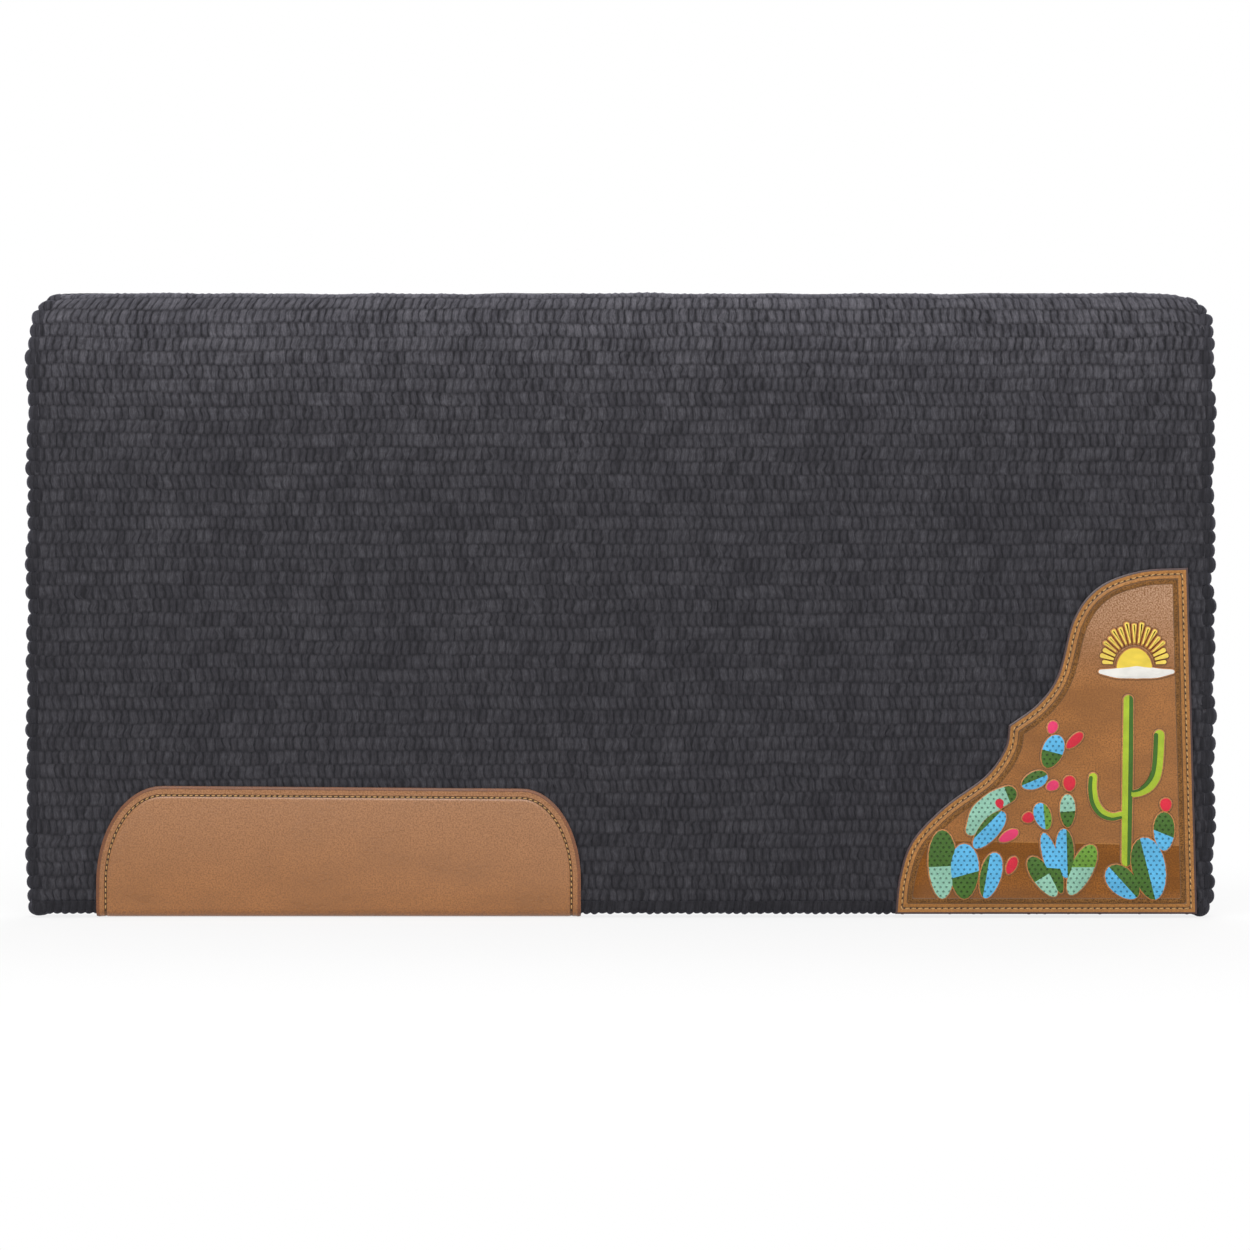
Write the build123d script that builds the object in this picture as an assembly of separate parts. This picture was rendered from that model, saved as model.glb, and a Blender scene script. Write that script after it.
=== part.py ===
from build123d import *
import os
from math import cos, pi, radians, sin

# A woven wool saddle pad, folded once along its spine, with leather sewn to each side.
# X runs along the spine, with the front of the pad at -X. The near side faces -Y, and +Z is up.
# The origin is the underside of the fold, midway along the spine, where the pad hangs.

# Driving dimensions, in millimetres
pad_length = 864.0
side_drop = 452.0
layer_thickness = 8.5
fold_inner_radius = 4.0
front_corner_radius = 9.0
rear_corner_radius = 16.0
border_rounding = 3.4

face_thickness = 1.8
row_pitch = 10.1
fold_rows = 4
cord_gap = 1.0
fold_cord_play = 0.15
selvage_width = 9.0
hem_height = 8.0
flap_clearance = 0.3

wear_from_front = 51.0
wear_length = 352.0
wear_front_height = 93.0
wear_rear_height = 91.0
wear_front_curve_length = 48.0
wear_front_curve_height = 70.0
wear_rear_curve_length = 43.0
wear_rear_curve_height = 66.0
wear_thickness = 2.2
wear_back_thickness = 1.8
wear_stitch_inset = 6.5

corner_from_rear = 13.5
corner_width = 219.0
corner_height = 251.5
corner_top_lean = 6.5
corner_drawn_width = 215.0
corner_drawn_height = 251.5
corner_thickness = 2.6
corner_stitch_inset = 5.0

thread_width = 1.0
thread_height = 0.7
thread_sink = 0.1
wear_fold_fillet_share = 0.8
spline_spans = 12

# Sizes that follow from them
fold_outer_radius = fold_inner_radius + layer_thickness
fold_z = -fold_inner_radius
hem_z = fold_z + fold_outer_radius - side_drop
flap_top_z = fold_z - flap_clearance
flap_height = flap_top_z - hem_z
front_x = -pad_length / 2
rear_x = pad_length / 2
weave_front_x = front_x + selvage_width
weave_rear_x = rear_x - selvage_width
weave_bottom_z = hem_z + hem_height
weave_height = flap_top_z - weave_bottom_z
cord_thickness = layer_thickness - 2 * face_thickness
cord_radius = cord_thickness / 2
cord_circle_radius = fold_inner_radius + face_thickness + cord_radius
flap_rows = max(1, round(weave_height / row_pitch))
row_spacing = weave_height / flap_rows
cord_height = row_spacing - cord_gap

wear_front_x = front_x + wear_from_front
wear_rear_x = wear_front_x + wear_length
corner_rear_x = rear_x - corner_from_rear

# The near side's two faces, and the outer faces of its leathers
outer_y = -fold_outer_radius
inner_y = -fold_inner_radius
wear_outer_y = outer_y - wear_thickness
wear_back_y = inner_y + wear_back_thickness
corner_outer_y = outer_y - corner_thickness


def box(x_range, y_range, z_range):
    """A box between two values on each axis."""
    lows, highs = zip(x_range, y_range, z_range)
    sizes = [high - low for low, high in zip(lows, highs)]
    return Pos(*lows) * Box(*sizes, align=(Align.MIN, Align.MIN, Align.MIN))


def upright_plane(y):
    """A sketch plane that faces the near side: its x runs to the rear and its y runs up."""
    return Plane(origin=(0, y, 0), x_dir=(1, 0, 0), z_dir=(0, -1, 0))


def plate(outline, y_from, y_to):
    """A flat sheet of an upright outline, from y_from outwards to y_to, which is further to -Y."""
    return extrude(upright_plane(y_from) * outline, amount=y_from - y_to)


def along_x(section, x_from, x_to):
    """A section in the YZ plane, run along the pad from x_from to x_to."""
    start = Plane(origin=(x_from, 0, 0), x_dir=(0, 1, 0), z_dir=(1, 0, 0))
    return extrude(start * section, amount=x_to - x_from)


# The woven side, which hangs from the fold


def flap_outline():
    """The side's outline: square at the fold, with rounded corners at the hem."""
    middle = Pos((front_x + rear_x) / 2, hem_z + flap_height / 2)
    square = middle * Rectangle(pad_length, flap_height)
    front_low = square.vertices().sort_by(Axis.Y)[:2].sort_by(Axis.X)[0]
    rounded = fillet(front_low, front_corner_radius)
    rear_low = rounded.vertices().sort_by(Axis.X)[-2:].sort_by(Axis.Y)[0]
    return fillet(rear_low, rear_corner_radius)


def runs_through(edge):
    """True for an edge that runs from one face of the side to the other."""
    along = edge.tangent_at(0.5)
    return abs(along.Y) > max(abs(along.X), abs(along.Z))


def rounded_flap():
    """The whole side as one block whose free edges are rounded, to be shared out among its pieces."""
    block = plate(flap_outline(), inner_y, outer_y)
    free = [
        edge
        for edge in block.edges()
        if edge.center().Z < flap_top_z - flap_clearance and not runs_through(edge)
    ]
    return fillet(free, border_rounding)


def weave_face(y_from, y_to):
    """One woven face: the sheet of warp yarns over the weft cords, between selvages and above the hem."""
    return box((weave_front_x, weave_rear_x), (y_from, y_to), (weave_bottom_z, flap_top_z))


def weft_cords():
    """The thick cords that the two faces are woven round, one for each row."""
    middle_y = (outer_y + inner_y) / 2
    section = Rot(0, 0, 90) * SlotOverall(cord_height, cord_thickness)
    cords = []
    for row in range(flap_rows):
        z = weave_bottom_z + (row + 0.5) * row_spacing
        cords.append(along_x(Pos(middle_y, z) * section, weave_front_x, weave_rear_x))
    return Compound(children=cords)


def selvage(block, x_range):
    """The woven end of the side, where the weft turns back."""
    return block & box(x_range, (2 * outer_y, 0), (2 * hem_z, 0))


def bottom_hem(block):
    """The twined hem that closes the bottom edge, between the selvages."""
    return block & box((weave_front_x, weave_rear_x), (2 * outer_y, 0), (2 * hem_z, weave_bottom_z))


# The fold along the spine


def half_ring(outer_radius, inner_radius, x_from, x_to):
    """Half a tube over the fold, open downwards."""
    ring = Circle(outer_radius) - Circle(inner_radius)
    upper = ring & Pos(0, outer_radius) * Rectangle(3 * outer_radius, 2 * outer_radius)
    return along_x(Pos(0, fold_z) * upper, x_from, x_to)


def fold_cords():
    """The weft cords that lie round the fold."""
    cords = []
    for row in range(fold_rows):
        angle = radians(180 * (row + 0.5) / fold_rows)
        centre = (cord_circle_radius * cos(angle), fold_z + cord_circle_radius * sin(angle))
        section = Pos(*centre) * Circle(cord_radius - fold_cord_play)
        cords.append(along_x(section, weave_front_x, weave_rear_x))
    return Compound(children=cords)


def fold_selvage(x_from, x_to, free_x):
    """The woven end of the fold, with its free rim rounded."""
    ring = half_ring(fold_outer_radius, fold_inner_radius, x_from, x_to)
    circles = ring.edges().filter_by(GeomType.CIRCLE)
    rims = [edge for edge in circles if abs(edge.center().X - free_x) < selvage_width / 2]
    return fillet(rims, border_rounding)


# The leathers, and the thread that holds them


def wear_outline(bottom_z, inset=0.0):
    """The wear leather seen from its side, or a line inside it: straight at the bottom, curved at each end."""
    front_end = wear_front_x + inset
    rear_end = wear_rear_x - inset
    front_centre = (
        wear_front_x + wear_front_curve_length,
        hem_z + wear_front_height - wear_front_curve_height,
    )
    rear_centre = (
        wear_rear_x - wear_rear_curve_length,
        hem_z + wear_rear_height - wear_rear_curve_height,
    )
    front_radii = (wear_front_curve_length - inset, wear_front_curve_height - inset)
    rear_radii = (wear_rear_curve_length - inset, wear_rear_curve_height - inset)
    front_curve = EllipticalCenterArc(front_centre, *front_radii, 90)
    rear_curve = EllipticalCenterArc(rear_centre, *rear_radii, 0)
    top = Line(rear_curve @ 1, front_curve @ 0)
    front_side = Line(front_curve @ 1, (front_end, bottom_z))
    bottom = Line((front_end, bottom_z), (rear_end, bottom_z))
    rear_side = Line((rear_end, bottom_z), rear_curve @ 0)
    return make_face([rear_curve, top, front_curve, front_side, bottom, rear_side])


def wear_stitch_line():
    """The wear leather's row of stitches: inside its ends and top, and down to its folded bottom."""
    wide = wear_outline(hem_z + thread_width, wear_stitch_inset - thread_width / 2)
    narrow = wear_outline(hem_z, wear_stitch_inset + thread_width / 2)
    return wide - narrow


def wear_leather():
    """One piece of leather, folded round the hem, with a leaf on each face of the side."""
    outline = wear_outline(hem_z)
    front_leaf = plate(outline, outer_y, wear_outer_y)
    back_leaf = plate(outline, wear_back_y, inner_y)
    under = box(
        (wear_front_x, wear_rear_x), (wear_outer_y, wear_back_y), (hem_z - wear_thickness, hem_z)
    )
    leather = front_leaf + back_leaf + under
    low_edges = [
        edge for edge in leather.edges().filter_by(Axis.X) if edge.center().Z < hem_z - wear_thickness / 2
    ]
    rounded = fillet(low_edges, wear_back_thickness * wear_fold_fillet_share)
    return rounded - wear_thread_space()


def wear_thread_space():
    """The grooves that the wear leather's thread lies in, one on each leaf."""
    line = wear_stitch_line()
    depth = thread_height + thread_sink
    outside = plate(line, wear_outer_y + depth, wear_outer_y)
    inside = plate(line, wear_back_y, wear_back_y - depth)
    return outside + inside


def wear_stitching():
    """The thread of the wear leather, a little under the surface of each leaf."""
    line = wear_stitch_line()
    outside_y = wear_outer_y + thread_sink
    inside_y = wear_back_y - thread_sink
    outside = plate(line, outside_y + thread_height, outside_y)
    inside = plate(line, inside_y, inside_y - thread_height)
    return Compound(children=[outside, inside])


def corner_outline():
    """The decorated corner leather: a tall shoulder, a small point, and a long sweep to the hem."""
    width_share = corner_width / corner_drawn_width
    height_share = corner_height / corner_drawn_height

    def place(inward, up):
        return (corner_rear_x - inward * width_share, hem_z + up * height_share)

    top = (corner_rear_x - corner_top_lean, hem_z + corner_height)
    point = place(134, 137)
    toe = (corner_rear_x - corner_width, hem_z)
    heel = (corner_rear_x, hem_z)
    shoulder_points = [(41, 249), (70, 237.5), (88, 214), (99, 174), (113, 153)]
    sweep_points = [(137, 120), (151, 100), (180, 78), (203, 53), (212, 27)]
    shoulder = Spline([top, *[place(*spot) for spot in shoulder_points], point])
    sweep = Spline([point, *[place(*spot) for spot in sweep_points], toe])
    return make_face([shoulder, sweep, Line(toe, heel), Line(heel, top)])


def inset_outline(outline, inset):
    """The outline moved inwards. Its curves are redrawn as plain splines, which a STEP file keeps."""
    drawn = []
    for edge in offset(outline, amount=-inset).faces()[0].outer_wire().edges():
        if edge.geom_type == GeomType.LINE:
            drawn.append(Line(edge @ 0, edge @ 1))
        else:
            drawn.append(Spline([edge @ (k / spline_spans) for k in range(spline_spans + 1)]))
    return make_face(drawn)


def corner_stitch_line():
    """The corner leather's row of stitches, all the way round inside its edge."""
    outline = corner_outline()
    wide = inset_outline(outline, corner_stitch_inset - thread_width / 2)
    narrow = inset_outline(outline, corner_stitch_inset + thread_width / 2)
    return wide - narrow


def corner_leather():
    """The flat corner leather, with the groove for its thread."""
    depth = thread_height + thread_sink
    groove = plate(corner_stitch_line(), corner_outer_y + depth, corner_outer_y)
    return plate(corner_outline(), outer_y, corner_outer_y) - groove


def corner_stitching():
    """The corner leather's thread: in its groove outside, and on the wool inside."""
    line = corner_stitch_line()
    outside_y = corner_outer_y + thread_sink
    outside = plate(line, outside_y + thread_height, outside_y)
    inside = plate(line, inner_y + thread_height / 2, inner_y)
    return Compound(children=[outside, inside])


def near_side():
    """Every piece of the near side, by name."""
    block = rounded_flap()
    return {
        "outer_weave": weave_face(outer_y, outer_y + face_thickness),
        "inner_weave": weave_face(inner_y - face_thickness, inner_y),
        "weft_cords": weft_cords(),
        "front_selvage": selvage(block, (2 * front_x, weave_front_x)),
        "rear_selvage": selvage(block, (weave_rear_x, 2 * rear_x)),
        "bottom_hem": bottom_hem(block),
        "wear_leather": wear_leather(),
        "wear_stitching": wear_stitching(),
        "corner_leather": corner_leather(),
        "corner_stitching": corner_stitching(),
    }


def spine():
    """Every piece of the fold, by name."""
    outer_back, inner_back = fold_outer_radius - face_thickness, fold_inner_radius + face_thickness
    return {
        "spine_outer_weave": half_ring(fold_outer_radius, outer_back, weave_front_x, weave_rear_x),
        "spine_inner_weave": half_ring(inner_back, fold_inner_radius, weave_front_x, weave_rear_x),
        "spine_weft_cords": fold_cords(),
        "spine_front_selvage": fold_selvage(front_x, weave_front_x, front_x),
        "spine_rear_selvage": fold_selvage(weave_rear_x, rear_x, rear_x),
    }


os.makedirs("parts", exist_ok=True)
nodes = spine()
for piece_name, piece in near_side().items():
    nodes["near_" + piece_name] = piece
    nodes["off_" + piece_name] = mirror(piece, about=Plane.XZ)
for node_name, node in nodes.items():
    export_step(node, f"parts/{node_name}.step")

hinge_offset = (fold_inner_radius + layer_thickness / 2) * pi / 4
print("hinge lines at y = +/-", round(hinge_offset, 3), "and z =", round(fold_z + hinge_offset, 3))
print("rows on a side:", flap_rows, "at", round(row_spacing, 3))
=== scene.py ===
"""A folded saddle pad of ribbed wool.

Each side has a wear leather folded round its hem and a painted leather on its rear corner."""

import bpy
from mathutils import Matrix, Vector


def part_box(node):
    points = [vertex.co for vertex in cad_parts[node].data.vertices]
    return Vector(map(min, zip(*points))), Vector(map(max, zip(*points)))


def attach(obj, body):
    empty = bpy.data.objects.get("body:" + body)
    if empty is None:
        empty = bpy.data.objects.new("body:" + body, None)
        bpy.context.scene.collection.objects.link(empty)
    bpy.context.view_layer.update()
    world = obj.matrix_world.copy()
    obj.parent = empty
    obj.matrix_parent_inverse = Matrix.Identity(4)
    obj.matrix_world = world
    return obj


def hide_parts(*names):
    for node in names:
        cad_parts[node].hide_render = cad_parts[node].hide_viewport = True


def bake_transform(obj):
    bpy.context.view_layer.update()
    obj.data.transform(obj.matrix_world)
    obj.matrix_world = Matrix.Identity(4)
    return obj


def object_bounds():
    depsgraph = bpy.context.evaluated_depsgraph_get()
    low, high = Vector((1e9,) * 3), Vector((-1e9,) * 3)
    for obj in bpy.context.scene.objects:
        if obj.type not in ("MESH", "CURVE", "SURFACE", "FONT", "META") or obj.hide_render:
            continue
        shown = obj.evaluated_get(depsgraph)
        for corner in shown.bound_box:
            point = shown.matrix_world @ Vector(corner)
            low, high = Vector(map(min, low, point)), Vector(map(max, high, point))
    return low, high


bl_info = {
    "name": "Folded Saddle Pad",
    "version": (1, 0, 0),
    "blender": (4, 5, 0),
    "location": "3D View > Sidebar > Saddle Pad",
    "description": "Builds a ribbed wool saddle pad with its wear leathers and its painted corner leathers",
    "category": "Add Mesh",
}

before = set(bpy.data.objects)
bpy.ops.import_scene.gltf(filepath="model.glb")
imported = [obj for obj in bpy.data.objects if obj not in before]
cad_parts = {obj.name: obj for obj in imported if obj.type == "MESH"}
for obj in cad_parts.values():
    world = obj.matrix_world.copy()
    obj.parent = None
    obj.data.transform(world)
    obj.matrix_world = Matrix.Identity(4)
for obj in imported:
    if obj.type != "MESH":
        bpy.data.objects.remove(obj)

import math
from contextlib import contextmanager

import bpy
import numpy as np
from mathutils import Vector
from bpy.props import FloatProperty, FloatVectorProperty, IntProperty, PointerProperty

CAD_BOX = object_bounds()
SIDES = {"near": -1, "off": 1}
BODIES = {"near": "near_side", "off": "off_side"}

# The pad's own places, in metres, all read from the frame

FRONT_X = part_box("near_front_selvage")[0][0]
REAR_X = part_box("near_rear_selvage")[1][0]
OUTER = -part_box("near_outer_weave")[0][1]
INNER = -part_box("near_inner_weave")[1][1]
MIDDLE = (OUTER + INNER) / 2
LAYER = OUTER - INNER
HEM_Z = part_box("near_bottom_hem")[0][2]
WEAVE_LOW_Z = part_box("near_outer_weave")[0][2]
FOLD_TOP_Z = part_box("spine_outer_weave")[1][2]
FOLD_Z = FOLD_TOP_Z - OUTER
WEAR_LOW, WEAR_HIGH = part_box("near_wear_leather")
CORNER_LOW, CORNER_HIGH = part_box("near_corner_leather")
QUARTER_TURN = math.pi / 2


# Settings that a user would change


def length(name, description, default):
    """A length that the sidebar shows in the scene's units."""
    return FloatProperty(name=name, description=description, default=default, unit="LENGTH",
                         precision=5)


def colour(name, description, default):
    """A linear colour that the sidebar shows as a swatch."""
    return FloatVectorProperty(name=name, description=description, default=default, size=3,
                               subtype="COLOR", min=0, max=1)


class WoolSettings(bpy.types.PropertyGroup):
    ribs: IntProperty(name="Ribs", description="Ribs that hang on each side, below the fold", default=43)
    fold_ribs: IntProperty(name="Fold ribs", description="Ribs on each half of the fold", default=2)
    stitch_pitch: length("Stitch pitch", "From one wool stitch to the next along a rib", 0.00576)
    relief: length("Relief", "From the bottom of a gap to the top of a stitch", 0.0021)
    selvage_width: length("Selvage", "How far the woven end reaches in from each edge", 0.0075)
    front_radius: length("Front corner", "Radius of the front bottom corner", 0.009)
    rear_radius: length("Rear corner", "Radius of the rear bottom corner", 0.017)
    stitch_colour: colour("Stitches", "The wool on top of a stitch", (0.118, 0.114, 0.13))
    # Painted shade: the dark colour painted into the gaps between the stitches.
    gap_shade_colour: colour("Gaps", "The wool deep between the stitches", (0.014, 0.0135, 0.016))
    edge_colour: colour("Edges", "The wool of the selvages and the hem", (0.066, 0.064, 0.075))
    seed: IntProperty(name="Seed", description="Which hand-woven unevenness the cloth has", default=7)


class LeatherSettings(bpy.types.PropertyGroup):
    front_height: length("Front height", "Height of the wear leather at its front end", 0.093)
    rear_height: length("Rear height", "Height of the wear leather at its rear end", 0.091)
    wear_inset: length("Wear stitch inset", "From the wear leather's edge to its stitches", 0.0068)
    wear_stitch: length("Wear stitch", "Pitch of the wear leather's stitches", 0.00405)
    corner_inset: length("Corner stitch inset", "From the corner leather's edge to its stitches", 0.0048)
    corner_stitch: length("Corner stitch", "Pitch of the corner leather's stitches", 0.0046)
    thread_radius: length("Thread radius", "Radius of the sewing thread", 0.00048)
    wear_colour: colour("Wear leather", "The smooth leather at the front", (0.315, 0.118, 0.022))
    corner_colour: colour("Corner leather", "The tooled leather's margin", (0.39, 0.165, 0.036))
    sky_colour: colour("Sky", "The tooled leather above the horizon", (0.345, 0.137, 0.034))
    ground_colour: colour("Ground", "The tooled leather below the horizon", (0.235, 0.08, 0.008))
    edge_colour: colour("Dyed edge", "The leather's dyed edge", (0.045, 0.014, 0.012))
    thread_colour: colour("Thread", "The waxed sewing thread", (0.62, 0.36, 0.13))


class PaintSettings(bpy.types.PropertyGroup):
    blue: colour("Blue", "Blue paint of the cactus pads", (0.1, 0.44, 0.74))
    green: colour("Green", "Dark green paint of the cactus pads", (0.048, 0.128, 0.014))
    mint: colour("Mint", "Mint paint of the cactus pads", (0.27, 0.53, 0.4))
    lime: colour("Lime", "Lime paint of the cactus pads", (0.13, 0.29, 0.03))
    lemon: colour("Lemon", "Light side of the tall cactus", (0.4, 0.54, 0.03))
    leaf: colour("Leaf", "Dark side of the tall cactus", (0.045, 0.14, 0.012))
    red: colour("Red", "Red buds", (0.68, 0.018, 0.045))
    pink: colour("Pink", "Pink buds", (0.82, 0.045, 0.16))
    gold: colour("Gold", "The sun's disc", (0.86, 0.64, 0.07))
    ray: colour("Rays", "The sun's rays", (0.87, 0.66, 0.11))
    cloud: colour("Cloud", "The cloud under the sun", (0.82, 0.8, 0.75))


class StudioSettings(bpy.types.PropertyGroup):
    distance: length("Camera distance", "From the camera to the spine of the pad", 3.0)
    view_width: length("View width", "Width of the picture where the pad hangs", 0.9085)
    aim_x: length("Aim X", "How far behind the pad's middle the camera points", 0.0031)
    aim_z: length("Aim Z", "The height at which the camera looks", -0.2336)
    floor_gap: length("Floor gap", "From the floor to the lowest leather", 0.0006)


def wool():
    return bpy.context.scene.pad_wool


def leather():
    return bpy.context.scene.pad_leather


def paint():
    return bpy.context.scene.pad_paint


# Node trees


class Tree:
    """A node tree under construction. Each add() makes one node and feeds its inputs."""

    def __init__(self, tree):
        self.tree = tree

    def feed(self, node, feeds):
        """Links the sockets among the feeds to the node's inputs, and sets the plain values."""
        for key, value in feeds.items():
            if isinstance(value, bpy.types.NodeSocket):
                self.tree.links.new(value, node.inputs[key])
            else:
                node.inputs[key].default_value = value
        return node

    def add(self, kind, feeds=None, **settings):
        node = self.tree.nodes.new("ShaderNode" + kind)
        for key, value in settings.items():
            setattr(node, key, value)
        return self.feed(node, feeds or {})

    def maths(self, operation, *values):
        return self.add("Math", dict(enumerate(values)), operation=operation).outputs[0]

    def plus(self, first, second):
        return self.maths("ADD", first, second)

    def minus(self, first, second):
        return self.maths("SUBTRACT", first, second)

    def times(self, first, second):
        return self.maths("MULTIPLY", first, second)

    def swing(self, value, reach):
        """A value from 0 to 1, turned into one that swings about 0."""
        return self.times(self.minus(value, 0.5), reach)

    def between(self, value, low, high):
        """0 at low, 1 at high, eased in between."""
        feeds = {"Value": value, "From Min": low, "From Max": high}
        return self.add("MapRange", feeds, interpolation_type="SMOOTHSTEP").outputs["Result"]

    def mix(self, share, first, second, blend="MIX"):
        feeds = {"Factor": share, 6: first, 7: second}
        return self.add("Mix", feeds, data_type="RGBA", blend_type=blend).outputs[2]

    def multiplied(self, first, second):
        return self.mix(1.0, first, second, "MULTIPLY")

    def noise(self, vector, scale, detail=3.0, rough=0.5):
        feeds = {"Vector": vector, "Scale": scale, "Detail": detail, "Roughness": rough}
        return self.add("TexNoise", feeds).outputs["Fac"]

    def stretch(self, vector, scale):
        return self.add("Mapping", {"Vector": vector, "Scale": scale}).outputs["Vector"]

    def split(self, vector):
        return self.add("SeparateXYZ", {"Vector": vector}).outputs

    def chance(self, cell):
        """A random value for each cell of a plane."""
        return self.add("TexWhiteNoise", {"Vector": cell}, noise_dimensions="2D").outputs["Value"]

    def place(self, kind="Object"):
        return self.add("TexCoord").outputs[kind]

    def bump(self, height, strength, distance):
        feeds = {"Height": height, "Strength": strength, "Distance": distance}
        return self.add("Bump", feeds).outputs[0]

    def shared(self, name, maker, feeds):
        """The outputs of a shader group, which is built the first time it is asked for."""
        made = bpy.data.node_groups.get(name) or maker()
        return self.add("Group", feeds, node_tree=made).outputs


def group(name, inputs, outputs):
    """A new shader group with named sockets, its tree, its input sockets and its output node."""
    made = bpy.data.node_groups.new(name, "ShaderNodeTree")
    for label, kind, default in inputs:
        socket = made.interface.new_socket(label, in_out="INPUT", socket_type="NodeSocket" + kind)
        if default is not None:
            socket.default_value = default
    for label in outputs:
        made.interface.new_socket(label, in_out="OUTPUT", socket_type="NodeSocketFloat")
    source = made.nodes.new("NodeGroupInput")
    target = made.nodes.new("NodeGroupOutput")
    return made, Tree(made), source.outputs, target


def stitch_group():
    """The stitches of the cloth on the UV map, which counts stitches across and ribs down."""
    made, t, given, out = group("Wool stitches", [("UV", "Vector", None)], ["Stitch", "Tone", "Fibre"])
    uv = given["UV"]
    flat = t.split(uv)
    wander = t.noise(t.stretch(uv, (0.9, 0.9, 1)), 1.3, 2.0)
    rib = t.maths("FLOOR", flat["Y"])
    stagger = t.times(t.maths("FLOORED_MODULO", rib, 2.0), 0.5)
    shifted = t.plus(t.plus(flat["X"], t.swing(wander, 0.35)), stagger)
    number = t.maths("FLOOR", shifted)
    side = t.maths("ABSOLUTE", t.minus(t.minus(shifted, number), 0.5))
    up = t.maths("ABSOLUTE", t.minus(t.minus(flat["Y"], rib), 0.5))
    cell = t.add("CombineXYZ", {"X": number, "Y": rib}).outputs[0]
    chance = t.chance(cell)
    other = t.chance(t.add("VectorMath", {0: cell, 1: (31.7, 12.3, 0)}).outputs[0])
    wide = t.plus(t.times(chance, 0.16), 0.34)
    tall = t.plus(t.times(other, 0.12), 0.22)
    fuzz = t.minus(t.noise(uv, 2.4, 5.0, 0.75), 0.5)
    beside = t.plus(t.maths("DIVIDE", side, wide), t.times(fuzz, 1.5))
    slot = t.between(beside, 1.55, 0.35)
    patchy = t.plus(t.times(t.noise(uv, 0.7, 3.0), 1.1), -0.02)
    edge = t.between(t.plus(up, t.times(fuzz, 0.3)), tall, 0.52)
    stitch = t.times(slot, t.minus(1.0, t.times(edge, patchy)))
    strands = t.noise(t.stretch(uv, (4.2, 1.1, 1)), 1.5, 5.0, 0.75)
    t.feed(out, {"Stitch": stitch, "Tone": chance, "Fibre": strands})
    return made


def grain_group():
    """Leather grain on Object coordinates: fine pores, soft mottling and long soft streaks."""
    made, t, given, out = group("Leather grain", [("Place", "Vector", None), ("Size", "Float", 1.0)],
                                ["Grain", "Mottle", "Pores"])
    place, size = given["Place"], given["Size"]
    fine = t.noise(place, t.times(size, 900.0), 4.0, 0.6)
    cells = t.add("TexVoronoi", {"Vector": place, "Scale": t.times(size, 1300.0)})
    mottle = t.noise(t.stretch(place, (1.0, 1.0, 2.2)), t.times(size, 22.0), 4.0, 0.55)
    pores = t.between(cells.outputs["Distance"], 0.0, 0.45)
    t.feed(out, {"Grain": fine, "Mottle": mottle, "Pores": pores})
    return made


def new_material(name):
    """A material, its tree and its Principled shader."""
    made = bpy.data.materials.new(name)
    made.use_nodes = True
    return made, Tree(made.node_tree), made.node_tree.nodes["Principled BSDF"]


def rgba(values, gain=1.0):
    return tuple(min(1.0, v * gain) for v in values) + (1.0,)


def wool_material(name, top, gap, fuzz=0.25):
    """Matt wool: stitches with painted shade in the gaps between, each of its own tone, and loose fibres
    along them.
    """
    made, t, shader = new_material(name)
    uv, place = t.place("UV"), t.place()
    s = t.shared("Wool stitches", stitch_group, {"UV": uv})
    white = rgba((1.0, 1.0, 1.0))
    body = t.mix(t.between(s["Fibre"], 0.3, 0.7), rgba(top, 0.55), rgba(top, 1.3))
    body = t.multiplied(body, t.mix(s["Tone"], rgba((0.7, 0.7, 0.71)), white))
    patch = t.between(t.noise(place, 16.0, 3.0), 0.3, 0.7)
    body = t.multiplied(body, t.mix(patch, rgba((0.88, 0.88, 0.89)), white))
    streak = t.between(t.noise(t.stretch(uv, (0.14, 1.1, 1)), 1.0, 4.0, 0.7), 0.34, 0.66)
    body = t.multiplied(body, t.mix(streak, rgba((0.74, 0.74, 0.75)), white))
    # Painted light: the wool is painted lighter rib by rib towards the fold, for the light from above that
    # falls on its top.
    rib = t.split(uv)["Y"]
    lit_towards_fold = t.plus(t.times(t.maths("EXPONENT", t.times(rib, -0.2)), 0.8), 0.5)
    body = t.multiplied(body, t.add("CombineColor", {0: lit_towards_fold, 1: lit_towards_fold, 2: lit_towards_fold}).outputs[0])
    lint = t.noise(place, 2600.0, 2.0)
    height = t.plus(t.times(s["Fibre"], 0.7), t.times(lint, 0.35))
    height = t.plus(height, t.times(s["Stitch"], 0.8))
    # Painted shade: the gaps between the stitches take the dark gap colour.
    t.feed(shader, {
        "Base Color": t.mix(s["Stitch"], rgba(gap), body),
        "Normal": t.bump(height, 0.75, 0.0005),
        "Roughness": 0.92,
        "Specular IOR Level": 0.2,
        "Sheen Weight": fuzz,
        "Sheen Roughness": 0.45,
        "Sheen Tint": (0.75, 0.75, 0.95, 1.0),
    })
    return made


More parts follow.
